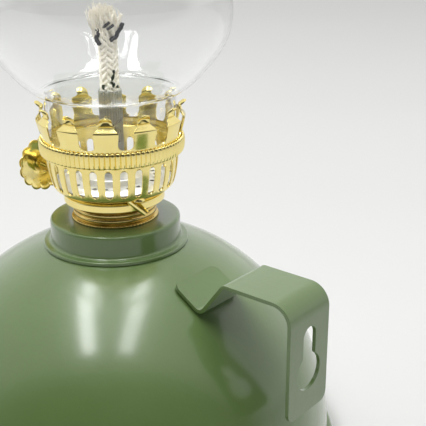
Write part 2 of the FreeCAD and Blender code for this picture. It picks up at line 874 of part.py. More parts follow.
def make_raiser_bracket():
    """A U of sheet that holds the shaft on both sides of the sprocket."""
    sheet, half = D.cheek_sheet, D.window_half
    block = primitive("Box", "BracketBlock",
                      Length=D.bracket_back - D.bracket_front,
                      Width=(half + sheet) * 2,
                      Height=D.bracket_height)
    room = primitive("Box", "BracketRoom",
                     Length=D.bracket_back - D.bracket_front,
                     Width=half * 2,
                     Height=D.bracket_height * 2)
    bore = primitive("Cylinder", "BracketBore",
                     Radius=D.shaft_radius + D.shaft_fit,
                     Height=D.bracket_height * 2)
    stand([block], D.bracket_front, -(half + sheet), D.base_high, Rotation())
    stand([room], D.bracket_front - sheet, -half, D.base_high - D.bracket_height / 2, Rotation())
    stand([bore], D.shaft_offset, D.bracket_height, D.shaft_height, Rotation(Vector(1, 0, 0), 90))
    channel = boolean("Cut", "BracketChannel", block, room)
    bracket = boolean("Cut", "Bracket", channel, bore)
    bracket.Label = "raiser_bracket"
    parts["raiser_bracket"] = bracket
    on_burner(bracket)


def make_shaft_bush():
    outer = D.bush_outer - WHEEL_Y
    inner = outer - D.bush_length
    bore = D.shaft_radius + D.shaft_fit
    on_shaft(turned_body("shaft_bush", [
        (bore, inner),
        (D.bush_radius, inner),
        (D.bush_radius, outer - D.bush_flange),
        (D.bush_flange_radius, outer - D.bush_flange),
        (D.bush_flange_radius, outer),
        (bore, outer),
    ]))


def make_raiser_shaft():
    inner, outer = -(WHEEL_Y + D.shaft_inner_end), D.wheel_dish + D.wheel_sheet / 2
    on_shaft(turned_body("raiser_shaft", [
        (0, inner),
        (D.shaft_radius, inner),
        (D.shaft_radius, outer),
        (0, outer),
    ]))


def make_raiser_sprocket():
    middle, half = -WHEEL_Y, D.sprocket_width / 2
    bore = D.shaft_radius + D.shaft_fit
    body = turned_body("raiser_sprocket", [
        (bore, middle - half),
        (D.sprocket_radius, middle - half),
        (D.sprocket_radius, middle + half),
        (bore, middle + half),
    ])
    above = Placement(Vector(0, 0, (middle + half).value), Rotation())
    gap = new_sketch(body, "ToothGap", "XY_Plane", above)
    round_hole(gap, D.sprocket_radius, 0, D.tooth_gap_radius)
    cut(body, gap, D.sprocket_width, D.sprocket_tooth_count)
    on_shaft(body)


def make_thumbwheel():
    """A dished disc with a scalloped edge, its rim nearer to the lamp than its hub."""
    half, dish = D.wheel_sheet / 2, D.wheel_dish
    bore = D.shaft_radius + D.shaft_fit
    body = turned_body("thumbwheel", [
        (bore, dish + half),
        (bore, dish - half),
        (D.wheel_hub_radius, dish - half),
        (D.wheel_rim_radius, -half),
        (D.wheel_radius, -half),
        (D.wheel_radius, half),
        (D.wheel_rim_radius, half),
        (D.wheel_hub_radius, dish + half),
    ])
    notch = new_sketch(body, "Notch", "XY_Plane", Placement(Vector(0, 0, half.value), Rotation()))
    round_hole(notch, D.lobe_notch_circle, 0, D.lobe_notch_radius)
    cut(body, notch, D.wheel_sheet, D.wheel_lobe_count)
    on_shaft(body)


def make_thumbwheel_boss():
    outer = D.wheel_dish - D.wheel_sheet / 2
    bore = D.shaft_radius + D.shaft_fit
    on_shaft(turned_body("thumbwheel_boss", [
        (bore, outer - D.boss_length),
        (D.boss_radius, outer - D.boss_length),
        (D.boss_radius, outer),
        (bore, outer),
    ]))


def make_thumbwheel_rivet():
    low = D.wheel_dish + D.wheel_sheet / 2
    high = low + D.rivet_height
    on_shaft(turned_body("thumbwheel_rivet", [
        (0, low),
        (D.rivet_radius, low),
        (D.rivet_radius, high - D.rivet_round),
        (D.rivet_radius - D.rivet_round, high, D.rivet_round, 1),
        (0, high),
    ]))


# ---------------------------------------------------------------- wick

def make_wick_braid():
    braid = primitive("Cylinder", "Braid", Radius=D.wick_radius, Height=D.wick_depth + D.braid_high)
    stand([braid], 0, 0, D.cap_top_z - D.wick_depth, Rotation())
    braid.Label = "wick_braid"
    parts["wick_braid"] = braid


def make_wick_tuft():
    tuft = turned_body("wick_tuft", [
        (0, D.braid_high),
        (D.wick_radius, D.braid_high),
        (D.tuft_radius, D.tuft_wide),
        (D.tuft_top_radius, D.wick_high, D.tuft_radius, 1),
        (0, D.wick_high),
    ])
    stand([tuft], 0, 0, D.cap_top_z, Rotation())


def make_wick_tracers():
    """Loose ends of the coloured marker yarns, leaning out of the frayed top."""
    ends = []
    for number, angle in enumerate(YARN_ANGLES):
        end = primitive("Cylinder", f"YarnEnd{number}", Radius=D.yarn_radius, Height=D.yarn_length)
        turn = Rotation(Vector(0, 0, 1), angle)
        foot = turn.multVec(Vector(D.wick_radius.value, 0, 0))
        end.Placement = Placement(foot, turn.multiply(Rotation(Vector(0, 1, 0), YARN_LEAN)))
        end.setExpression("Placement.Base.z", (D.cap_top_z + D.braid_high).text)
        ends.append(end)
    group = doc.addObject("Part::Compound", "YarnEnds")
    group.Links = ends
    group.Label = "wick_tracers"
    parts["wick_tracers"] = group


# ---------------------------------------------------------------- chimney

def make_chimney_glass():
    """A straight foot, a crease, a wide bulb and a long tube, all of one wall thickness."""
    wall = D.glass_wall
    slanted = wall * CHEEK_SLANT
    turned_in = (D.shoulder_radius - D.bulb_radius + D.bulb_round) / D.bulb_round
    turned_up = (D.shoulder - D.bulb) / D.bulb_round
    mouth_low = D.chimney_high - D.mouth_run
    glass = turned_body("chimney_glass", [
        (D.fitter_radius, D.glass_low),
        (D.fitter_radius, D.fitter_high),
        (D.crease_radius, D.crease),
        (D.flare_radius, D.flare),
        (D.cheek_radius, D.cheek, D.flare_round, 1),
        (D.bulb_radius, D.bulb, D.cheek_round, 1),
        (D.shoulder_radius, D.shoulder, D.bulb_round, 1),
        (D.chimney_radius, D.chimney_low, D.shoulder_round, -1),
        (D.chimney_radius, mouth_low),
        (D.mouth_radius, D.chimney_high - D.rim_round),
        (D.mouth_radius - D.rim_round, D.chimney_high, D.rim_round, 1),
        (D.mouth_radius - wall, D.chimney_high - D.rim_round, wall / 2, 1),
        (D.chimney_radius - wall, mouth_low),
        (D.chimney_radius - wall, D.chimney_low),
        (D.shoulder_radius - wall * turned_in, D.shoulder - wall * turned_up, D.shoulder_round + wall, 1),
        (D.bulb_radius - wall, D.bulb, D.bulb_round - wall, -1),
        (D.cheek_radius - wall, D.cheek + slanted, D.cheek_round - wall, -1),
        (D.flare_radius - wall, D.flare + wall, D.flare_round - wall, -1),
        (D.crease_radius - wall, D.crease),
        (D.fitter_radius - wall, D.fitter_high),
        (D.fitter_radius - wall, D.glass_low),
    ])
    stand([glass], 0, 0, D.cap_top_z, Rotation())


# ---------------------------------------------------------------- the whole lamp

MAKERS = (
    make_tank_shell, make_tank_base_pan, make_neck_cap, make_thread_collar, make_wall_strap,
    make_burner_gasket, make_burner_base, make_burner_basket, make_gallery_ring, make_gallery_crown,
    make_draught_cup, make_wick_tube, make_tube_ferrule, make_vent_tongue, make_raiser_bracket,
    make_shaft_bush, make_raiser_shaft, make_raiser_sprocket, make_thumbwheel, make_thumbwheel_boss,
    make_thumbwheel_rivet, make_wick_braid, make_wick_tuft, make_wick_tracers, make_chimney_glass,
)


def check_document():
    doc.recompute()
    for item in doc.Objects:
        if "Invalid" in item.State or "Error" in item.State:
            raise RuntimeError(f"{item.Label}: {item.State}")
    for label, item in parts.items():
        if item.Shape.isNull() or not item.Shape.isValid():
            raise RuntimeError(f"{label}: bad shape")


def main():
    for make in MAKERS:
        make()
    check_document()
    os.makedirs("parts", exist_ok=True)
    for label, item in parts.items():
        item.Shape.exportStep(f"parts/{label}.step")
        box = item.Shape.BoundBox
        print(f"{label}: {len(item.Shape.Solids)} solids, volume {item.Shape.Volume:.1f},",
              f"x {box.XMin:.2f} {box.XMax:.2f}, y {box.YMin:.2f} {box.YMax:.2f},",
              f"z {box.ZMin:.2f} {box.ZMax:.2f}")


main()
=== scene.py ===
import random
from math import asin, cos, hypot, pi, radians, sin, sqrt, tau

import bmesh
import bpy
import numpy as np
from mathutils import Matrix, Vector


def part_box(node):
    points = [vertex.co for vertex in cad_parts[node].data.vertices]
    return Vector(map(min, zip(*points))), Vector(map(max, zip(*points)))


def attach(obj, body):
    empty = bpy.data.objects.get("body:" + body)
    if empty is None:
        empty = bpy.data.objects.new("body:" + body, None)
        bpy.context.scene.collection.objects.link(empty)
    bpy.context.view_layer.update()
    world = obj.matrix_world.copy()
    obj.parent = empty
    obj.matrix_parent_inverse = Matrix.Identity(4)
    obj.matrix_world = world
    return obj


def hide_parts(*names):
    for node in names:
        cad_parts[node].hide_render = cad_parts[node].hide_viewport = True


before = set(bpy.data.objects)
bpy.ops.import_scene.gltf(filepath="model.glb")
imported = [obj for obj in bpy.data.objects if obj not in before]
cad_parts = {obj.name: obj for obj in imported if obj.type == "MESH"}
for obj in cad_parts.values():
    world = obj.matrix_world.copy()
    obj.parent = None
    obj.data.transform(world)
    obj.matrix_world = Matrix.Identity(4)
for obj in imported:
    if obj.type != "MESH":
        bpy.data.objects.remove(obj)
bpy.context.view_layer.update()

# Looks of the oil lamp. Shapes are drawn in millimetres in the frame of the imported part: +Z up, the
# wall strap at +Y and the thumbwheel at -Y. Heights of the burner, wick and chimney start at CAP_TOP.

MM = 0.001
WELD = 0.0005  # points closer than this, in millimetres, are joined
TINY = 1e-6
ROUND_STEPS = 288
SHEET_SHARP = 60.0


def node_top(node):
    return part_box(node)[1].z / MM


def node_low(node):
    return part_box(node)[0].z / MM


def node_radius(node):
    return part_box(node)[1].x / MM


CAP_TOP = node_top("neck_cap")
DOME_RADIUS = node_radius("tank_shell")
DOME_FOOT = node_low("tank_shell")
DOME_CENTRE = 6.9
SEAM_RADIUS = node_radius("tank_base_pan")
SEAM_TOP = node_top("tank_base_pan")
BASE_TOP = node_top("burner_base") - CAP_TOP
WHEEL_REACH = 29.8
SHAFT_OFFSET = 5.1
SHAFT_HEIGHT = 9.0
SLOT_COUNT = 28
SLOT_PHASE = radians(41.9)
PRONG_COUNT = 12
PRONG_PHASE = radians(41.7)
TONGUE_PHASE = radians(61.7)

# The level directions of the front view: towards the viewer and to the right.
TO_CAMERA = Vector((0.7694, 0.6388, 0.0))
TO_RIGHT = Vector((-0.6388, 0.7694, 0.0))


# ---------------------------------------------------------------- node materials

def new_material(name):
    material = bpy.data.materials.new(name)
    material.use_nodes = True
    nodes = material.node_tree.nodes
    return material, nodes, material.node_tree.links, nodes["Principled BSDF"]


def noise(nodes, links, scale, detail=4.0):
    """Noise in the piece's own coordinates, with so many waves to the metre."""
    place = nodes.new("ShaderNodeTexCoord")
    texture = nodes.new("ShaderNodeTexNoise")
    texture.inputs["Scale"].default_value = scale
    texture.inputs["Detail"].default_value = detail
    texture.inputs["Roughness"].default_value = 0.55
    links.new(place.outputs["Object"], texture.inputs["Vector"])
    return texture.outputs["Fac"]


def spread(nodes, links, value, low, high, start=0.3, stop=0.7):
    """Maps a noise value to a range."""
    ramp = nodes.new("ShaderNodeMapRange")
    ramp.inputs["From Min"].default_value = start
    ramp.inputs["From Max"].default_value = stop
    ramp.inputs["To Min"].default_value = low
    ramp.inputs["To Max"].default_value = high
    links.new(value, ramp.inputs["Value"])
    return ramp.outputs["Result"]


def blend_colour(nodes, links, factor, first, second):
    mix = nodes.new("ShaderNodeMix")
    mix.data_type = "RGBA"
    mix.inputs["A"].default_value = (*first, 1.0)
    mix.inputs["B"].default_value = (*second, 1.0)
    links.new(factor, mix.inputs["Factor"])
    return mix.outputs["Result"]


def set_colour(nodes, links, shader, value, first, second):
    """Lets a noise value lead the shader's colour from one tone to another."""
    tone = spread(nodes, links, value, 0.0, 1.0)
    links.new(blend_colour(nodes, links, tone, first, second), shader.inputs["Base Color"])


def set_roughness(nodes, links, shader, value, low, high):
    links.new(spread(nodes, links, value, low, high), shader.inputs["Roughness"])


def bump(nodes, links, shader, height, strength, distance):
    """Raises the surface by a noise value, by a distance in millimetres."""
    node = nodes.new("ShaderNodeBump")
    node.inputs["Strength"].default_value = strength
    node.inputs["Distance"].default_value = distance * MM
    links.new(height, node.inputs["Height"])
    links.new(node.outputs["Normal"], shader.inputs["Normal"])


def metal(name, first, second, smooth, rough):
    """Polished or brushed metal: uneven tone, smudges in the roughness and a fine grain."""
    material, nodes, links, shader = new_material(name)
    shader.inputs["Metallic"].default_value = 1.0
    set_colour(nodes, links, shader, noise(nodes, links, 160.0), first, second)
    set_roughness(nodes, links, shader, noise(nodes, links, 420.0, 6.0), smooth, rough)
    bump(nodes, links, shader, noise(nodes, links, 900.0, 2.0), 0.12, 0.02)
    return material


def green_paint():
    """Sprayed satin enamel with a slight orange peel and a thin clear gloss on top."""
    material, nodes, links, shader = new_material("green_paint")
    first, second = (0.094, 0.158, 0.046), (0.106, 0.172, 0.053)
    set_colour(nodes, links, shader, noise(nodes, links, 35.0), first, second)
    set_roughness(nodes, links, shader, noise(nodes, links, 90.0, 6.0), 0.30, 0.38)
    shader.inputs["Specular IOR Level"].default_value = 0.35
    shader.inputs["Coat Weight"].default_value = 1.0
    shader.inputs["Coat Roughness"].default_value = 0.16
    bump(nodes, links, shader, noise(nodes, links, 600.0, 3.0), 0.3, 0.13)
    return material


def clear_glass():
    """Clear glass that lets light through to what it covers."""
    material, nodes, links, shader = new_material("clear_glass")
    shader.inputs["Base Color"].default_value = (0.985, 0.99, 0.985, 1.0)
    shader.inputs["Transmission Weight"].default_value = 1.0
    shader.inputs["IOR"].default_value = 1.47
    set_roughness(nodes, links, shader, noise(nodes, links, 60.0), 0.0, 0.012)
    bump(nodes, links, shader, noise(nodes, links, 45.0, 1.0), 0.2, 0.1)
    way = nodes.new("ShaderNodeLightPath")
    clear = nodes.new("ShaderNodeBsdfTransparent")
    mix = nodes.new("ShaderNodeMixShader")
    output = nodes["Material Output"]
    links.new(way.outputs["Is Shadow Ray"], mix.inputs["Fac"])
    links.new(shader.outputs["BSDF"], mix.inputs[1])
    links.new(clear.outputs["BSDF"], mix.inputs[2])
    links.new(mix.outputs["Shader"], output.inputs["Surface"])
    return material


def cotton(name, first, second, sheen):
    """Fuzzy thread, slightly see-through."""
    material, nodes, links, shader = new_material(name)
    set_colour(nodes, links, shader, noise(nodes, links, 700.0, 8.0), first, second)
    set_roughness(nodes, links, shader, noise(nodes, links, 1500.0), 0.8, 0.95)
    shader.inputs["Sheen Weight"].default_value = sheen
    shader.inputs["Sheen Roughness"].default_value = 0.5
    shader.inputs["Subsurface Weight"].default_value = 0.08
    shader.inputs["Subsurface Radius"].default_value = (0.001, 0.001, 0.001)
    bump(nodes, links, shader, noise(nodes, links, 2600.0, 6.0), 0.5, 0.12)
    return material


def matt(name, first, second, grain):
    """A dull surface, with a grain of so many waves to the metre."""
    material, nodes, links, shader = new_material(name)
    set_colour(nodes, links, shader, noise(nodes, links, grain, 8.0), first, second)
    set_roughness(nodes, links, shader, noise(nodes, links, grain * 2), 0.75, 0.9)
    bump(nodes, links, shader, noise(nodes, links, grain * 3), 0.3, 0.1)
    return material


GREEN = green_paint()
BRASS = metal("brass", (0.88, 0.73, 0.27), (0.93, 0.80, 0.34), 0.11, 0.21)
DARK_BRASS = metal("dark_brass", (0.50, 0.36, 0.12), (0.85, 0.66, 0.24), 0.15, 0.26)
STEEL = metal("bright_steel", (0.80, 0.81, 0.82), (0.90, 0.91, 0.92), 0.34, 0.50)
TUBE_STEEL = metal("tube_steel", (0.38, 0.38, 0.36), (0.50, 0.50, 0.48), 0.24, 0.36)
GLASS = clear_glass()
COTTON = cotton("wick_cotton", (0.85, 0.79, 0.66), (0.97, 0.94, 0.85), 0.4)
YARN = cotton("tracer_yarn", (0.008, 0.009, 0.012), (0.02, 0.022, 0.027), 0.05)
CORK = matt("cork", (0.20, 0.12, 0.06), (0.34, 0.22, 0.12), 500.0)
FLOOR = matt("pale_floor", (0.625, 0.625, 0.618), (0.64, 0.64, 0.632), 6.0)


# ---------------------------------------------------------------- mesh building

def make_mesh(name, points, faces, closed):
    """A welded mesh in metres from points in millimetres."""
    mesh = bpy.data.meshes.new(name)
    mesh.from_pydata([tuple(point) for point in points], [], faces)
    shape = bmesh.new()
    shape.from_mesh(mesh)
    bmesh.ops.remove_doubles(shape, verts=shape.verts, dist=WELD)
    if closed:
        bmesh.ops.recalc_face_normals(shape, faces=shape.faces)
    bmesh.ops.scale(shape, vec=(MM, MM, MM), verts=shape.verts)
    shape.to_mesh(mesh)
    shape.free()
    return mesh


def new_piece(name, parts, body, material, sharp=38.0):
    """Adds a piece made of one or more closed (points, faces) lists, riding on a CAD body."""
    points, faces = [], []
    for some_points, some_faces in parts:
        start = len(points)
        points += some_points
        faces += [tuple(start + corner for corner in face) for face in some_faces]
    mesh = make_mesh(name, points, faces, True)
    mesh.shade_smooth()
    mesh.set_sharp_from_angle(angle=radians(sharp))
    mesh.materials.append(material)
    piece = bpy.data.objects.new(name, mesh)
    bpy.context.scene.collection.objects.link(piece)
    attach(piece, body)
    return piece


def rounded(points, steps=5):
    """A line of (x, y) points; a third number rounds that corner, starting so far from it."""
    line = []
    count = len(points)
    for number, point in enumerate(points):
        here = Vector(point[:2])
        if len(point) < 3 or point[2] == 0:
            line.append(tuple(here))
            continue
        before = Vector(points[number - 1][:2])
        after = Vector(points[(number + 1) % count][:2])
        start = here + (before - here).normalized() * point[2]
        end = here + (after - here).normalized() * point[2]
        for step in range(steps + 1):
            part = step / steps
            line.append(tuple(start.lerp(here, part).lerp(here.lerp(end, part), part)))
    return line


def arc(centre, radius, start, end, steps):
    """Points of an arc, with its angles in degrees."""
    angles = [radians(start + (end - start) * step / steps) for step in range(steps + 1)]
    return [(centre[0] + radius * cos(angle), centre[1] + radius * sin(angle)) for angle in angles]


def lathe(outline, base=0.0, steps=ROUND_STEPS, bend=None):
    """Turns a closed (radius, height) outline about Z. bend may move a point by its angle."""
    count = len(outline)
    points, faces = [], []
    for step in range(steps):
        angle = tau * step / steps
        for radius, height in outline:
            if bend is not None:
                radius, height = bend(angle, radius, height)
            points.append((radius * cos(angle), radius * sin(angle), base + height))
    for step in range(steps):
        here, there = step * count, (step + 1) % steps * count
        for corner in range(count):
            after = (corner + 1) % count
            faces.append((here + corner, here + after, there + after, there + corner))
    return points, faces


def tube(path, radius, sides, taper=None):
    """A closed round tube along a line of points. taper scales the radius along it."""
    path = [Vector(point) for point in path]
    points, faces = [], []
    side = None
    for number, place in enumerate(path):
        before, after = path[max(number - 1, 0)], path[min(number + 1, len(path) - 1)]
        way = (after - before).normalized()
        if side is None:
            side = way.orthogonal().normalized()
        side = (side - way * side.dot(way)).normalized()
        other = way.cross(side)
        size = radius if taper is None else radius * taper(number / (len(path) - 1))
        for step in range(sides):
            angle = tau * step / sides
            points.append(place + (side * cos(angle) + other * sin(angle)) * size)
    for number in range(len(path) - 1):
        for step in range(sides):
            after = (step + 1) % sides
            low, high = number * sides, (number + 1) * sides
            faces.append((low + step, low + after, high + after, high + step))
    faces.append(tuple(range(sides))[::-1])
    faces.append(tuple((len(path) - 1) * sides + step for step in range(sides)))
    return points, faces


def moved(part, matrix):
    points, faces = part
    return [matrix @ Vector(point) for point in points], faces


def modify(piece, kind, **settings):
    modifier = piece.modifiers.new(kind.title(), kind)
    for key, value in settings.items():
        setattr(modifier, key, value)


def grid_faces(rows, columns):
    """Faces of a grid of points whose rows hold columns + 1 points."""
    faces = []
    for row in range(rows):
        for column in range(columns):
            low = row * (columns + 1) + column
            high = low + columns + 1
            faces.append((low, high, high + 1, low + 1))
    return faces


def soften(piece, edge):
    """Rounds the cut edges of a thin sheet."""
    modify(piece, "BEVEL", width=edge * MM, segments=2, limit_method="ANGLE",
           angle_limit=radians(50), harden_normals=True)


def new_sheet(name, points, inner_points, faces, body, edge):
    """A brass piece of thin sheet from its outer skin and the matching points of its inner skin."""
    shape = bmesh.new()
    layer = shape.verts.layers.float_vector.new("inner")
    corners = []
    for point, inner in zip(points, inner_points):
        corner = shape.verts.new(point)
        corner[layer] = inner
        corners.append(corner)
    for face in faces:
        shape.faces.new([corners[number] for number in face])
    bmesh.ops.remove_doubles(shape, verts=shape.verts, dist=WELD)
    shape.verts.index_update()
    count = len(shape.verts)
    skin = [tuple(corner.co) for corner in shape.verts]
    skin += [tuple(corner[layer]) for corner in shape.verts]
    skin_faces = [tuple(corner.index for corner in face.verts) for face in shape.faces]
    closed = skin_faces + [tuple(count + number for number in reversed(face)) for face in skin_faces]
    for edge_line in shape.edges:
        if len(edge_line.link_loops) == 1:
            loop = edge_line.link_loops[0]
            start, end = loop.vert.index, loop.link_loop_next.vert.index
            closed.append((end, start, count + start, count + end))
    shape.free()
    piece = new_piece(name, [(skin, closed)], body, BRASS, sharp=SHEET_SHARP)
    soften(piece, edge)
    return piece


def set_shape(piece):
    """Makes the modified shape the piece's own mesh."""
    depsgraph = bpy.context.evaluated_depsgraph_get()
    depsgraph.update()
    mesh = bpy.data.meshes.new_from_object(piece.evaluated_get(depsgraph))
    piece.modifiers.clear()
    piece.data = mesh


def carve(piece, part):
    """Cuts a closed shape out of a piece."""
    cutter = bpy.data.objects.new("cutter", make_mesh("cutter", *part, True))
    bpy.context.scene.collection.objects.link(cutter)
    modify(piece, "BOOLEAN", operation="DIFFERENCE", solver="EXACT", object=cutter)
    set_shape(piece)
    bpy.data.objects.remove(cutter)


def block(low, high):
    """A plain box as (points, faces), for carving."""
    all_x, all_y, all_z = zip(low, high)
    points = [(x, y, z) for x in all_x for y in all_y for z in all_z]
    faces = [(0, 1, 3, 2), (4, 6, 7, 5), (0, 4, 5, 1), (2, 3, 7, 6), (0, 2, 6, 4), (1, 5, 7, 3)]
    return points, faces


BURNER_TURN = -asin(SHAFT_OFFSET / WHEEL_REACH)
BURNER_FRAME = Matrix.Translation((0, 0, CAP_TOP)) @ Matrix.Rotation(BURNER_TURN, 4, "Z")
SHAFT_FRAME = (Matrix.Translation((0, -WHEEL_REACH, CAP_TOP + SHAFT_HEIGHT))
               @ Matrix.Rotation(BURNER_TURN, 4, "Z") @ Matrix.Rotation(pi / 2, 4, "X"))


class Sheet:
    """The outer line of a sheet of revolution, read by the distance along it."""

    def __init__(self, line, thickness):
        self.line = np.array(line)
        steps = np.hypot(*np.diff(self.line, axis=0).T)
        self.distance = np.concatenate([[0.0], np.cumsum(steps)])
        self.end = self.distance[-1]
        rise = np.gradient(self.line, self.distance, axis=0)
        rise /= np.hypot(*rise.T)[:, None]
        self.inner = self.line + np.stack([-rise[:, 1], rise[:, 0]], axis=1) * thickness

    def distance_of(self, height):
        return float(np.interp(height, self.line[:, 1], self.distance))

    def radius_at(self, distance):
        return float(np.interp(distance, self.distance, self.line[:, 0]))

    def place(self, angle, distance, inside=False):
        line = self.inner if inside else self.line
        radius = np.interp(distance, self.distance, line[:, 0])
        height = np.interp(distance, self.distance, line[:, 1])
        return (radius * cos(angle), radius * sin(angle), CAP_TOP + height)

    def skins(self, places):
        return [self.place(*place) for place in places], [self.place(*place, True) for place in places]


# ---------------------------------------------------------------- tank

def make_tank_shell():
    """A half ball of sheet, open at the foot and at the neck."""
    wall, neck = 0.7, 13.2
    top = 90 - np.degrees(asin(neck / DOME_RADIUS))
    centre = (0.0, DOME_CENTRE)
    outline = [(DOME_RADIUS - wall, DOME_FOOT), (DOME_RADIUS, DOME_FOOT)]
    outline += arc(centre, DOME_RADIUS, 0, top, 72)
    outline += arc(centre, DOME_RADIUS - wall, top, 0, 36)
    piece = new_piece("dome_shell", [lathe(outline)], "tank", GREEN)
    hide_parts("tank_shell")


def make_tank_base():
    """A pan that stands on its outer ring, rolled over the dome's edge as a seam."""
    pan, sheet = 2.6, 0.8
    foot = SEAM_RADIUS - 5.8
    seam_inner = DOME_RADIUS + 0.05
    outline = rounded([
        (0, pan), (foot - 2.7, pan, 0.8), (foot, 0, 0.8), (SEAM_RADIUS, 0, 1.4),
        (SEAM_RADIUS, SEAM_TOP, 1.4), (seam_inner, SEAM_TOP, 0.2), (seam_inner, sheet),
        (foot + 0.4, sheet, 0.6), (foot - 2.3, pan + sheet, 0.8), (0, pan + sheet),
    ])
    piece = new_piece("base_pan", [lathe(outline)], "tank", GREEN)
    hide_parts("tank_base_pan")


def make_neck_cap():
    """A raised cap with a hole for the collar and a lip that lies on the dome."""
    radius, lip, bore, wall = 18.0, 20.15, 11.65, 0.9
    inner_low, lip_low, lip_top = -6.4, -7.4, -6.35
    outline = rounded([
        (bore, 0, 0.2), (bore, -wall), (radius - wall, -wall), (radius - wall, inner_low),
        (lip, lip_low, 0.25), (lip, lip_top, 0.5), (radius, lip_top, 1.0), (radius, 0, 0.95),
    ], 7)
    piece = new_piece("neck_cap_shell", [lathe(outline, CAP_TOP)], "tank", GREEN)
    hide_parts("neck_cap")


def make_thread_collar():
    """Rounded rings that stand for the thread, a foot with fine teeth, and a flange under the cap."""
    radius, bore, ridges, pitch, ridge_height = 11.1, 10.55, 3, 1.5, 0.42
    foot, foot_low, foot_top, teeth, tooth = 11.95, 0.05, 0.5, 72, 0.07
    flange, flange_low, flange_top, waist, tail = 12.6, -1.75, -0.95, 11.6, -7.0
    top = node_top("thread_collar") - CAP_TOP
    low = top - 0.25 - ridges * pitch
    outline = rounded([
        (bore, tail), (radius, tail), (radius, flange_low), (flange, flange_low, 0.2),
        (flange, flange_top, 0.2),
    ])
    outline += rounded([
        (waist, flange_top), (waist, foot_low), (foot, foot_low, 0.15), (foot, foot_top, 0.15),
        (radius, low - 0.1),
    ])
    steps, bluntness = 14, 0.7
    for ridge in range(ridges):
        for step in range(steps):
            part = step / steps
            reach = ridge_height * sin(pi * part) ** bluntness
            outline.append((radius + reach, low + pitch * (ridge + part)))
    outline += rounded([(radius, top, 0.2), (bore, top, 0.2)])

    def toothed(angle, r, z):
        if r > foot - 0.2 and z < foot_top + 0.1:
            return r + tooth * cos(angle * teeth), z
        return r, z

    part = lathe(outline, CAP_TOP, teeth * 6, toothed)
    piece = new_piece("collar", [part], "tank", DARK_BRASS)
    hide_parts("thread_collar")


def make_wall_strap():
    """The strap's own solid with all its sheared edges softened by the paint."""
    edge, flat, crease = 0.3, radians(0.6), radians(45)
    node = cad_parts["wall_strap"]
    mesh = node.data.copy()
    shape = bmesh.new()
    shape.from_mesh(mesh)
    bmesh.ops.remove_doubles(shape, verts=shape.verts, dist=WELD * MM)
    bmesh.ops.dissolve_limit(shape, angle_limit=flat, verts=shape.verts, edges=shape.edges)
    shape.to_mesh(mesh)
    shape.free()
    mesh.materials.clear()
    mesh.materials.append(GREEN)
    mesh.shade_smooth()
    mesh.set_sharp_from_angle(angle=crease)
    piece = bpy.data.objects.new("hanging_strap", mesh)
    bpy.context.scene.collection.objects.link(piece)
    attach(piece, "tank")
    modify(piece, "BEVEL", width=edge * MM, segments=4, limit_method="ANGLE",
           angle_limit=crease, harden_normals=True)
    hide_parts("wall_strap")


# ---------------------------------------------------------------- burner

def make_burner_base():
    """The disc with its drawn skirt outside and its tail, ringed as a thread, inside the collar."""
    radius, sheet, low = 13.85, 0.5, 5.15
    tail, tail_low, bore, tube_hole = 9.95, -6.0, 9.35, 3.2
    under = BASE_TOP - sheet
    outline = rounded([
        (tube_hole, BASE_TOP), (tube_hole, under), (bore, under), (bore, tail_low), (tail, tail_low),
    ])
    steps, ridges, pitch, ridge_height = 8, 6, 1.5, 0.28
    for ridge in range(ridges):
        for step in range(1, steps + 1):
            part = step / steps
            reach = ridge_height * sin(pi * part)
            outline.append((tail + reach, pitch * (ridge + part) + tail_low))
    outline += rounded([
        (tail, under), (radius - sheet, under, 0.3), (radius - sheet, low), (radius, low, 0.2),
        (radius, BASE_TOP, 0.5),
    ])
    piece = new_piece("base_ring", [lathe(outline, CAP_TOP)], "burner", BRASS)
    start, end, half, spare = 1.7, 7.0, 1.7, 0.5
    window = block((start, -half, under - spare), (end, half, BASE_TOP + spare))
    carve(piece, moved(window, BURNER_FRAME))
    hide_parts("burner_base")


def slot_outline(half, reach):
    """Points round an upright slot with full-round ends, measured from its middle."""
    points = []
    arc_steps, side_steps = 12, 7
    for step in range(arc_steps):
        angle = pi * step / arc_steps
        points.append((half * cos(angle), reach + half * sin(angle)))
    for step in range(side_steps):
        points.append((-half, reach - 2 * reach * step / side_steps))
    for step in range(arc_steps):
        angle = pi + pi * step / arc_steps
        points.append((half * cos(angle), -reach + half * sin(angle)))
    for step in range(side_steps):
        points.append((half, -reach + 2 * reach * step / side_steps))
    return points


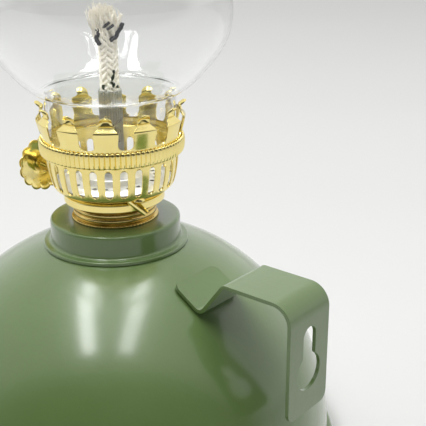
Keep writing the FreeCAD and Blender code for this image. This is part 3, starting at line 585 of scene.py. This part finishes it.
def make_burner_basket():
    """A pressed bowl with a ring of air slots, each in its own cell of the sheet."""
    sheet, slot_radius, slot_low, slot_high = 0.45, 17.6, 10.0, 17.65
    line = Sheet(rounded([
        (12.4, 7.32), (12.4, 8.3, 0.35), (14.9, 8.3, 0.7), (16.25, 9.1, 0.8), (16.95, 11.0, 1.0),
        (17.45, 13.3, 1.2), (17.8, 15.6, 1.0), (17.9, 18.4, 1.0), (17.65, 20.9),
    ], 8), sheet)
    low, high = line.distance_of(slot_low), line.distance_of(slot_high)
    half, margin = 1.0, 0.45
    middle = (low + high) / 2
    reach = (high - low) / 2 - half
    cell_half = (pi / SLOT_COUNT) * slot_radius
    cell_reach = reach + half + margin
    hole = slot_outline(half, reach)
    border = []
    for x, y in hole:
        grow = min(cell_half / max(abs(x), TINY), cell_reach / max(abs(y), TINY))
        border.append([x * grow, y * grow])
    for corner in ((1, 1), (-1, 1), (-1, -1), (1, -1)):
        goal = (corner[0] * cell_half, corner[1] * cell_reach)
        nearest = min(border, key=lambda spot: (spot[0] - goal[0]) ** 2 + (spot[1] - goal[1]) ** 2)
        nearest[0], nearest[1] = goal
    rings = [[(x + (bx - x) * part, y + (by - y) * part) for (x, y), (bx, by) in zip(hole, border)]
             for part in (0.0, 0.25, 0.6, 1.0)]
    top = sorted(x for x, y in border if y > cell_reach - TINY)
    bottom = sorted(x for x, y in border if y < TINY - cell_reach)
    above = np.linspace(middle + cell_reach, line.end, 10)
    below = np.linspace(0, middle - cell_reach, 26)
    places, faces = [], []

    def add_face(centre, corners):
        start = len(places)
        places.extend((centre + x / slot_radius, distance) for x, distance in corners)
        faces.append(tuple(range(start, start + len(corners))))

    for cell in range(SLOT_COUNT):
        centre = SLOT_PHASE + tau * cell / SLOT_COUNT
        for inner, outer in zip(rings, rings[1:]):
            for number in range(len(hole)):
                after = (number + 1) % len(hole)
                corners = [inner[number], outer[number], outer[after], inner[after]]
                add_face(centre, [(x, middle + y) for x, y in corners])
        for columns, rows in ((top, above), (bottom, below)):
            for left, right in zip(columns, columns[1:]):
                for start, end in zip(rows, rows[1:]):
                    add_face(centre, [(left, start), (right, start), (right, end), (left, end)])
    piece = new_sheet("slotted_basket", *line.skins(places), faces, "burner", 0.1)
    carve(piece, bush_hole())
    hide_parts("burner_basket")


def bush_hole():
    """The round hole that the raiser shaft's bush goes through."""
    outside, inside, radius = -20, -6, 1.3
    line = [(SHAFT_OFFSET, outside, SHAFT_HEIGHT), (SHAFT_OFFSET, inside, SHAFT_HEIGHT)]
    return moved(tube(line, radius, 32), BURNER_FRAME)


def make_draught_cup():
    """The bright inner pan: a raised middle, a ring of small air holes and a gutter along the bowl."""
    outline = rounded([
        (3.2, 12.6), (3.2, 12.2), (9.1, 12.2), (9.1, 10.5), (12.8, 10.5, 0.6), (14.4, 9.3, 0.6),
        (15.7, 9.3, 0.4), (16.2, 10.6), (15.85, 10.75), (15.45, 9.7, 0.4), (14.5, 9.7, 0.5),
        (13.0, 10.9, 0.6), (9.5, 10.9), (9.5, 12.6, 0.3),
    ])
    piece = new_piece("bright_pan", [lathe(outline, CAP_TOP)], "burner", STEEL)
    carve(piece, bush_hole())
    holes, hole_ring, hole_radius, under, over = 24, 11.4, 0.6, 10.0, 11.4
    for hole in range(holes):
        angle = tau * hole / holes
        x, y = hole_ring * cos(angle), hole_ring * sin(angle)
        carve(piece, moved(tube([(x, y, under), (x, y, over)], hole_radius, 16), BURNER_FRAME))
    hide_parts("draught_cup")


def make_gallery_ring():
    """The band with fine upright ribs and a beaded top edge, and the ledge for the chimney."""
    ribs, per_rib, depth, bead, mean = 90, 8, 0.4, 0.3, 0.7
    band_radius, band_low, band_top = 19.1, 18.8, 22.75
    outline = rounded([
        (17.95, 18.5, 0.1), (18.6, 18.45, 0.15), (19.2, 18.9, 0.2), (19.45, 19.7, 0.3),
        (19.55, 21.2, 0.5), (19.5, 22.3, 0.3), (19.3, 22.9, 0.22), (18.85, 22.9, 0.2),
        (19.05, 21.5, 0.3), (16.05, 21.45, 0.2), (16.05, 21.0, 0.2), (18.75, 20.95, 0.3),
        (18.45, 19.4, 0.3), (17.95, 18.95, 0.1),
    ], 4)

    def ribbed(angle, r, z):
        rib = abs(sin(angle * ribs / 2)) ** 0.8
        if r > band_radius and band_low < z < band_top:
            return r + depth * (rib - mean), z
        if z >= band_top:
            return r, z + bead * (rib - mean)
        return r, z

    part = lathe(outline, CAP_TOP, ribs * per_rib, ribbed)
    piece = new_piece("ribbed_ring", [part], "burner", BRASS, sharp=50)
    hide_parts("gallery_ring")


# Half the width of a prong at some heights, from the band to the foot of its round tip.
PRONG_WIDTHS = (
    (23.40, 4.90), (23.44, 3.95), (23.6, 3.45), (23.9, 3.2), (24.4, 3.0), (25.2, 2.95),
    (26.2, 3.05), (27.4, 3.2), (28.0, 3.25), (28.3, 3.1), (28.8, 2.6), (29.3, 2.05),
    (29.8, 1.75), (30.3, 1.62), (30.9, 1.6),
)


def prong_half_width(height, tip_low, tip_high):
    """Half the width of a prong: read from the table, then closing as a half ellipse."""
    heights, widths = zip(*PRONG_WIDTHS)
    if height <= tip_low:
        return float(np.interp(height, heights, widths))
    part = (height - tip_low) / (tip_high - tip_low)
    return widths[-1] * sqrt(max(1.0 - part ** 2, 0.0))


def make_gallery_crown():
    """A band cut into spring prongs: a bulge, a shoulder leaning in, and a dished tip turned out."""
    sheet, low_edge, dish_low, dish_depth = 0.4, 21.5, 29.9, 0.7
    line = Sheet(rounded([
        (18.75, low_edge), (18.75, 23.3, 0.4), (19.4, 25.6, 1.0), (20.0, 28.1, 0.3),
        (18.85, 29.5, 0.3), (18.6, 30.0, 0.3), (18.9, 31.0, 0.4), (20.2, 32.0),
    ], 8), sheet)
    band_top, tip_low, tip_high = PRONG_WIDTHS[0][0], PRONG_WIDTHS[-1][0], line.line[-1, 1]
    columns, tip_rows = 12, 8
    half_pitch = pi / PRONG_COUNT
    heights = list(np.linspace(low_edge, band_top, 8))
    # Close rows where the prongs part from the band.
    heights += [band_top + 0.04, band_top + 0.12, band_top + 0.3, band_top + 0.6]
    heights += list(np.linspace(band_top + 0.9, tip_low, 30))
    heights += [tip_low + (tip_high - tip_low) * sin(row * pi / (2 * tip_rows))
                for row in range(1, tip_rows + 1)]
    places, dishes, faces = [], [], []
    for prong in range(PRONG_COUNT):
        centre = PRONG_PHASE + tau * prong / PRONG_COUNT
        start = len(places)
        for height in heights:
            distance = line.distance_of(height)
            spread_angle = half_pitch
            if height > band_top:
                spread_angle = prong_half_width(height, tip_low, tip_high) / line.radius_at(distance)
            dish = dish_depth * min(max(height - dish_low, 0.0), 1.0)
            for column in range(columns + 1):
                side = 2 * column / columns - 1
                places.append((centre + spread_angle * side, distance))
                dishes.append(dish * (1 - side * side))
        for row in range(len(heights) - 1):
            for column in range(columns):
                low = start + row * (columns + 1) + column
                high = low + columns + 1
                faces.append((low, low + 1, high + 1, high))

    def dished(skin):
        """The points of a skin, each drawn towards the axis by its dish."""
        drawn = []
        for (x, y, z), dish in zip(skin, dishes):
            part = 1 - dish / hypot(x, y)
            drawn.append((x * part, y * part, z))
        return drawn

    outer, inner = line.skins(places)
    piece = new_sheet("prong_crown", dished(outer), dished(inner), faces, "burner", 0.08)
    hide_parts("gallery_crown")


def make_wick_tube():
    """A drawn tube with fine flutes, its window for the raiser left open."""
    bore, radius, flutes, depth, scallop = 2.8, 3.15, 26, 0.2, 0.15
    low, high = node_low("wick_tube") - CAP_TOP, node_top("wick_tube") - CAP_TOP
    rows = [(radius, height) for height in np.linspace(low + 0.3, high - 1.2, 12)]
    outline = [(bore, low), (radius - 0.1, low)] + rows
    outline += rounded([(radius, high - 0.9, 0.1), (radius, high, 0.15), (bore, high, 0.15)])

    def fluted(angle, r, z):
        groove = 0.5 + 0.5 * cos(angle * flutes)
        if r > radius - 0.02:
            return r - depth * groove, z
        if z > high - 0.3:
            return r, z - scallop * groove
        return r, z

    part = lathe(outline, CAP_TOP, flutes * 10, fluted)
    piece = new_piece("fluted_tube", [part], "burner", TUBE_STEEL, sharp=55)
    start, end, rise, half = 1.7, 6.0, 2.0, 1.7
    window = block((start, -half, SHAFT_HEIGHT - rise), (end, half, SHAFT_HEIGHT + rise))
    carve(piece, moved(window, BURNER_FRAME))
    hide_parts("wick_tube")


def make_vent_tongue():
    """A lanced tab that slopes out and down, rolled into a half pipe open upwards."""
    outward = Matrix.Rotation(TONGUE_PHASE, 4, "Z")
    start = Vector((12.9, -0.2, CAP_TOP + 8.1))
    way = Vector((3.0, 3.7, -3.2)).normalized()
    across = way.cross(Vector((0, 0, 1))).normalized()
    up = across.cross(way).normalized()
    length, radius, sheet = 6.1, 1.4, 0.3
    narrowing, wrap, sink = 0.22, 1.15, 0.6
    rows, columns = 14, 14
    points, inner_points = [], []
    for row in range(rows + 1):
        along = row / rows
        size = radius * (1.0 - narrowing * along ** 2)
        for column in range(columns + 1):
            angle = pi * (column / columns - 0.5) * wrap
            for skin, reach in ((points, size), (inner_points, size - sheet)):
                offset = across * (reach * sin(angle)) + up * (sink * size - reach * cos(angle))
                skin.append(outward @ (start + way * (length * along) + offset))
    piece = new_sheet("rolled_tongue", points, inner_points, grid_faces(rows, columns), "burner", 0.08)
    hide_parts("vent_tongue")


def make_vent_hood():
    """The small rounded hood pushed out of the sheet over the tongue's root."""
    beside_tongue = radians(9)
    outward = Matrix.Rotation(TONGUE_PHASE + beside_tongue, 4, "Z")
    centre = Vector((15.0, 0, CAP_TOP + 8.4))
    reach, rise, sheet = 1.6, 1.3, 0.3
    rows, columns = 8, 14
    points, inner_points = [], []
    for row in range(rows + 1):
        lift = pi / 2 * row / rows
        for column in range(columns + 1):
            aside = pi * (column / columns - 0.5)
            out = reach * cos(lift)
            way = Vector((out * cos(aside), out * sin(aside), rise * sin(lift)))
            points.append(outward @ (centre + way))
            inner_points.append(outward @ (centre + way * (1 - sheet / rise)))
    new_sheet("vent_hood", points, inner_points, grid_faces(rows, columns), "burner", 0.06)


# ---------------------------------------------------------------- wick raiser

def make_thumbwheel():
    """A thin dished wheel: a scalloped edge that is turned over, a smooth bowl and a raised hub."""
    lobes, radius, bore = 14, 8.2, 0.95
    bowl, notch, dent = 5.4, 0.8, 0.4
    outline = rounded([
        (bore, 1.6), (2.9, 1.6, 0.4), (3.6, 1.2, 0.4), (5.8, 0.65, 0.6), (7.2, 0.1, 0.4),
        (7.7, -0.25, 0.2), (radius, -0.35, 0.25), (radius, -0.8, 0.15), (7.55, -0.75, 0.2),
        (7.05, -0.4, 0.3), (5.7, 0.1, 0.6), (3.4, 0.7, 0.4), (2.7, 1.1, 0.3), (bore, 1.1),
    ], 4)

    def scalloped(angle, r, z):
        dip = abs(sin(angle * lobes / 2)) ** 0.75
        edge = max(0.0, (r - bowl) / (radius - bowl))
        groove = edge * (1 - edge) * 1.2
        return r - notch * (1 - dip) * edge ** 1.5, z + dent * groove * (1 - dip)

    part = moved(lathe(outline, 0.0, lobes * 24, scalloped), SHAFT_FRAME)
    piece = new_piece("scalloped_wheel", [part], "raiser", BRASS, sharp=50)
    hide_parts("thumbwheel")


# ---------------------------------------------------------------- wick

def lamp_point(right, height, near):
    """A place on the wick seen from the front view: to the right, up, and towards the viewer."""
    place = TO_RIGHT * right + TO_CAMERA * near
    return (place.x, place.y, CAP_TOP + height)


def make_wick_braid():
    """Two sets of yarns wound opposite ways, each passing over two of the other and under two."""
    low, high = node_low("wick_braid"), CAP_TOP + 47.6
    yarns, pitch, radius, yarn, swing = 8, 13.2, 1.98, 0.51, 0.24
    step_length = 0.3
    steps = int((high - low) / step_length)
    core_radius, core_low, core_high = 1.75, low + 0.3, high - 0.8
    core = [(0, core_low), (core_radius, core_low), (core_radius, core_high), (0, core_high)]
    parts = [lathe(core, 0.0, 24)]
    for sense in (1, -1):
        for number in range(yarns):
            path = []
            for step in range(steps + 1):
                height = low + (high - low) * step / steps
                angle = sense * tau * (height - low) / pitch + tau * number / yarns
                crossing = 2 * yarns * (height - low) / pitch
                # Positive over two yarns of the other set, negative under the next two.
                weave = sense * cos(pi / 2 * (2 * number + sense * crossing - 0.5))
                reach = radius + swing * weave
                path.append((reach * cos(angle), reach * sin(angle), height))
            parts.append(tube(path, yarn, 6))
    piece = new_piece("braided_wick", parts, "wick", COTTON, sharp=80)
    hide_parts("wick_braid")


def make_wick_tuft():
    """Loose cotton fibres above the braid, cut level and leaning to one side."""
    fibres, fibre_radius, root_spread, tip_spread = 300, 0.17, 2.2, 3.6
    root_height, tip_height, highest = 46.4, 56.3, 57.6
    chance = random.Random(7)
    parts = []
    lean = TO_RIGHT * -1.3
    steps = 6
    for _ in range(fibres):
        share = sqrt(chance.random())
        angle = chance.uniform(0, tau)
        out = Vector((cos(angle), sin(angle), 0))
        root = out * (root_spread * share)
        root.z = root_height + chance.uniform(0, 1.6)
        tip = out * (tip_spread * share + chance.gauss(0, 0.4)) + lean * chance.uniform(0.5, 1.4)
        tip.z = tip_height - 1.2 * share ** 2 + chance.gauss(0, 0.9)
        swell = out * (0.5 * share + 0.2) + lean * -0.15
        curl = Vector((chance.gauss(0, 0.35), chance.gauss(0, 0.35), 0))
        path = []
        for step in range(steps + 1):
            part = step / steps
            place = root.lerp(tip, part) + swell * sin(pi * part) + curl * sin(tau * part)
            path.append((place.x, place.y, CAP_TOP + min(place.z, highest)))
        parts.append(tube(path, fibre_radius, 5, lambda part: 1.0 - 0.5 * part))
    piece = new_piece("frayed_top", parts, "wick", COTTON, sharp=80)
    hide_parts("wick_tuft")


def make_yarn_loops():
    """The thick white yarns that hang half loose out of the braid's end."""
    loops = [
        [lamp_point(1.7, 47.3, 2.2), lamp_point(0.4, 48.4, 2.7), lamp_point(-1.0, 50.0, 2.5),
         lamp_point(-2.2, 52.0, 1.9), lamp_point(-3.0, 54.6, 1.2)],
        [lamp_point(0.2, 47.2, 2.4), lamp_point(-0.9, 48.0, 2.4), lamp_point(-2.1, 49.4, 1.9),
         lamp_point(-3.1, 51.8, 1.3)],
        [lamp_point(2.1, 47.4, 1.3), lamp_point(2.0, 49.3, 2.1), lamp_point(1.4, 51.2, 2.5),
         lamp_point(0.2, 51.9, 2.5), lamp_point(-0.8, 51.0, 2.5)],
        [lamp_point(2.2, 48.8, 0.8), lamp_point(2.6, 51.0, 1.2), lamp_point(3.0, 53.0, 1.2),
         lamp_point(3.9, 54.8, 0.9)],
        [lamp_point(1.6, 50.4, 1.8), lamp_point(1.3, 52.6, 2.0), lamp_point(1.8, 54.8, 1.6)],
    ]
    strands, winding, strand_radius, turns = 3, 0.30, 0.33, 2.5
    parts = []
    for loop in loops:
        path = smooth_path(loop, 6)
        for strand in range(strands):
            wound = twist(path, winding, strand / strands, turns)
            parts.append(tube(wound, strand_radius, 6, lambda part: 1.0 - 0.25 * part))
    new_piece("loose_yarns", parts, "wick", COTTON, sharp=80)


def smooth_path(points, steps):
    """A Catmull-Rom curve through the points."""
    points = [Vector(point) for point in points]
    ends = [points[0] * 2 - points[1]] + points + [points[-1] * 2 - points[-2]]
    path = []
    for a, b, c, d in zip(ends, ends[1:], ends[2:], ends[3:]):
        for step in range(steps):
            t = step / steps
            path.append(0.5 * (2 * b + (c - a) * t + (2 * a - 5 * b + 4 * c - d) * t * t
                               + (3 * b - a - 3 * c + d) * t ** 3))
    path.append(points[-1])
    return path


def twist(path, radius, phase, turns):
    """A line wound round another line, as one strand of a yarn."""
    wound = []
    for number, place in enumerate(path):
        before, after = path[max(number - 1, 0)], path[min(number + 1, len(path) - 1)]
        way = (after - before).normalized()
        side = way.cross(TO_CAMERA).normalized()
        other = way.cross(side)
        angle = tau * (phase + turns * number / len(path))
        wound.append(place + (side * cos(angle) + other * sin(angle)) * radius)
    return wound


def make_wick_tracers():
    """Dark marker yarns: loose ends at the top and short stretches in the braid near the tube."""
    yarns = [
        [lamp_point(0.6, 48.0, 2.4), lamp_point(1.5, 48.8, 2.8), lamp_point(2.5, 49.3, 2.7),
         lamp_point(2.9, 50.4, 2.4), lamp_point(3.7, 51.5, 2.1), lamp_point(4.2, 52.7, 1.9)],
        [lamp_point(-1.8, 47.3, 2.5), lamp_point(-2.3, 48.1, 2.6), lamp_point(-2.6, 49.1, 2.5),
         lamp_point(-2.1, 50.2, 2.6), lamp_point(-2.3, 51.3, 2.4)],
        [lamp_point(-0.6, 51.9, 3.5), lamp_point(0.2, 52.5, 3.6), lamp_point(1.0, 53.1, 3.4)],
        [lamp_point(0.4, 51.4, 3.6), lamp_point(1.2, 51.9, 3.6), lamp_point(2.0, 52.5, 3.3)],
    ]
    # Stretches on the braid's skin: how far to the right, and how high.
    woven = [
        [(1.5, 40.3), (1.2, 39.0), (0.8, 37.8), (1.3, 36.9), (0.6, 35.9)],
        [(-1.0, 37.0), (-1.5, 36.5), (-1.4, 36.0), (-0.9, 35.6)],
        [(2.0, 36.6), (2.15, 35.9)],
    ]
    braid_radius = 2.32
    for line in woven:
        yarns.append([lamp_point(right, height, sqrt(braid_radius ** 2 - right ** 2))
                      for right, height in line])
    sizes = (1.0, 1.0, 0.65, 0.65, 0.74, 0.74, 0.74)
    strands, winding, strand_radius, turns = 3, 0.27, 0.32, 0.35
    parts = []
    for yarn, size in zip(yarns, sizes):
        path = smooth_path(yarn, 7)
        for strand in range(strands):
            wound = twist(path, winding * size, strand / strands, turns * len(yarn))
            parts.append(tube(wound, strand_radius * size, 7))
    piece = new_piece("dark_yarns", parts, "wick", YARN, sharp=80)
    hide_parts("wick_tracers")


# ---------------------------------------------------------------- chimney

def make_chimney():
    """Blown glass: a straight foot, a pinched crease, a wide bulb and a tall tube."""
    wall, foot_radius, low, ground_edge = 0.6, 17.5, 21.75, 0.3
    shoulder_start = (18.2, 34.8)
    outer = rounded([
        (foot_radius, low), (foot_radius, 32.9, 0.8), (17.15, 34.2, 0.3), (17.55, 34.76, 0.25),
        shoulder_start,
    ], 6)
    cheek = [shoulder_start, (19.5, 35.1), (21.6, 36.6), (24.06, 38.85), (28.0, 43.4),
             (30.17, 46.4), (31.68, 49.76), (32.45, 53.4), (32.6, 57.0)]
    outer += [tuple(point) for point in smooth_path(cheek, 10)[1:]]
    outer += arc((2.6, 57.0), 30.0, 0, 52, 40)[1:]
    outer += arc((32.08, 94.73), 17.88, 232, 180, 24)[1:]
    outer += [(14.2, 118.0), (14.2, 140.0), (14.35, 143.5), (14.7, 148.0), (14.9, 149.5)]
    glass = Sheet(outer, wall)
    outline = [tuple(point) for point in glass.line]
    outline += [tuple(point) for point in glass.inner[::-1]]
    outline[0] = (foot_radius - ground_edge, low)
    part = lathe(rounded(outline), CAP_TOP)
    piece = new_piece("glass_chimney", [part], "chimney", GLASS, sharp=75)
    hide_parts("chimney_glass")


# ---------------------------------------------------------------- CAD nodes that stay

KEPT_NODES = {
    "tube_ferrule": BRASS,
    "raiser_bracket": BRASS,
    "shaft_bush": BRASS,
    "raiser_shaft": BRASS,
    "raiser_sprocket": BRASS,
    "thumbwheel_boss": BRASS,
    "thumbwheel_rivet": BRASS,
    "burner_gasket": CORK,
}


def finish_kept_nodes():
    """Gives the small inner nodes, shown as they are in the CAD, their materials."""
    for name, material in KEPT_NODES.items():
        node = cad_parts[name]
        node.data.materials.clear()
        node.data.materials.append(material)


# ---------------------------------------------------------------- stage, lights and camera

TENT = (0.95, 0.95, 0.945)
ROOM = (0.075, 0.075, 0.072)
TENT_LEAN = 0.6
STRIP_HEIGHT, STRIP_WIDTH = 1.07, 0.14
STRIP_BACK, STRIP_FRONT = -0.36, 0.53
CAMERA_PLACE = (163.1, 170.7, 159.9)
CAMERA_PITCH = radians(20.54)
CAMERA_ROLL = radians(-0.24)
CAMERA_LENS = 76.06


def make_floor():
    size = 6000.0
    corners = [(-size, -size, 0), (size, -size, 0), (size, size, 0), (-size, size, 0)]
    mesh = make_mesh("floor", corners, [(0, 1, 2, 3)], False)
    mesh.materials.append(FLOOR)
    floor = bpy.data.objects.new("floor", mesh)
    bpy.context.scene.collection.objects.link(floor)


def strip_light(name, back_aside, front_aside, radiance):
    """A long overhead panel from behind the lamp towards the viewer, so many metres to its right."""
    back = TO_CAMERA * STRIP_BACK + TO_RIGHT * back_aside
    front = TO_CAMERA * STRIP_FRONT + TO_RIGHT * front_aside
    way = front - back
    light = bpy.data.lights.new(name, "AREA")
    light.shape = "RECTANGLE"
    light.size, light.size_y = way.length, STRIP_WIDTH
    light.energy = pi * way.length * STRIP_WIDTH * radiance
    lamp = bpy.data.objects.new(name, light)
    lamp.location = (back + front) / 2 + Vector((0, 0, STRIP_HEIGHT))
    lamp.rotation_euler = (0, 0, way.to_2d().angle_signed(Vector((1, 0))))
    bpy.context.scene.collection.objects.link(lamp)


def make_lights():
    """A white tent over and behind the lamp, open and darker on the side of the front view."""
    world = bpy.data.worlds.new("studio")
    world.use_nodes = True
    nodes, links = world.node_tree.nodes, world.node_tree.links
    place = nodes.new("ShaderNodeTexCoord")
    across = nodes.new("ShaderNodeVectorMath")
    across.operation = "DOT_PRODUCT"
    across.inputs[1].default_value = TO_CAMERA - Vector((0, 0, TENT_LEAN))
    links.new(place.outputs["Generated"], across.inputs[0])
    tent_edge, room_edge = -0.05, 0.22
    side = spread(nodes, links, across.outputs["Value"], 0.0, 1.0, tent_edge, room_edge)
    tone = blend_colour(nodes, links, side, TENT, ROOM)
    links.new(tone, nodes["Background"].inputs["Color"])
    nodes["Background"].inputs["Strength"].default_value = 1.0
    bpy.context.scene.world = world
    strip_light("left_strip", -0.30, -0.27, 13.0)
    strip_light("right_strip", 0.19, 0.10, 9.5)


def make_camera():
    """A camera near the burner that looks down at it, turned a little about its own line of sight."""
    camera = bpy.data.cameras.new("camera")
    camera.lens = CAMERA_LENS
    camera.sensor_width = 36.0
    camera.clip_start = 0.01
    way = -TO_CAMERA * cos(CAMERA_PITCH) - Vector((0, 0, 1)) * sin(CAMERA_PITCH)
    right = way.cross(Vector((0, 0, 1))).normalized()
    up = right.cross(way)
    turn = Matrix((right, up, -way)).transposed().to_4x4() @ Matrix.Rotation(CAMERA_ROLL, 4, "Z")
    viewer = bpy.data.objects.new("camera", camera)
    viewer.matrix_world = Matrix.Translation(Vector(CAMERA_PLACE) * MM) @ turn
    bpy.context.scene.collection.objects.link(viewer)
    bpy.context.scene.camera = viewer
    bpy.context.scene.view_settings.view_transform = "Standard"


for make in (
    make_tank_shell, make_tank_base, make_neck_cap, make_thread_collar, make_wall_strap,
    make_burner_base, make_burner_basket, make_draught_cup, make_gallery_ring, make_gallery_crown,
    make_wick_tube, make_vent_tongue, make_vent_hood, make_thumbwheel, make_wick_braid,
    make_wick_tuft, make_yarn_loops, make_wick_tracers, make_chimney, finish_kept_nodes,
    make_floor, make_lights, make_camera,
):
    make()
